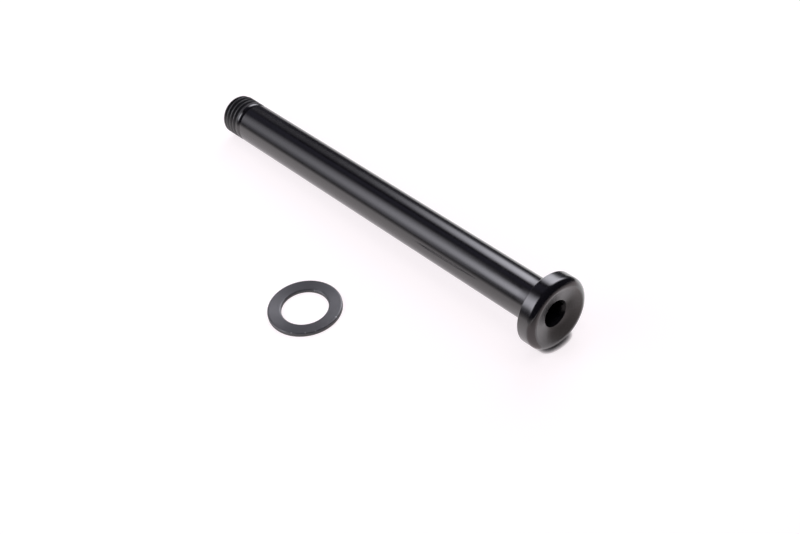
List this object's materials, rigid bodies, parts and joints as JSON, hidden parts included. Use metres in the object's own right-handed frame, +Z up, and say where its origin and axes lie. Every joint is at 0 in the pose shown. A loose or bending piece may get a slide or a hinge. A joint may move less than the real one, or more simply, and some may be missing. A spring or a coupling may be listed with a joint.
{
  "type": "bicycle thru axle",
  "caption": "Black anodised bicycle thru axle with a dished round head, hex key socket, plain shaft and threaded end, lying with its flat head washer taken off beside it.",
  "frame": {"origin": "on the surface that the set lies on, in the middle of the box round the axle and its washer", "axes": "+X along the axle towards its head, as it lies with its thread end a little lower; +Z up"},
  "size_m": [0.1356, 0.0566, 0.0204],
  "materials": {
    "black_anodised": "satin",
    "washer_black": "satin"
  },
  "bodies": {
    "root": {"axle": "black_anodised", "washer": "washer_black"}
  },
  "joints": []
}
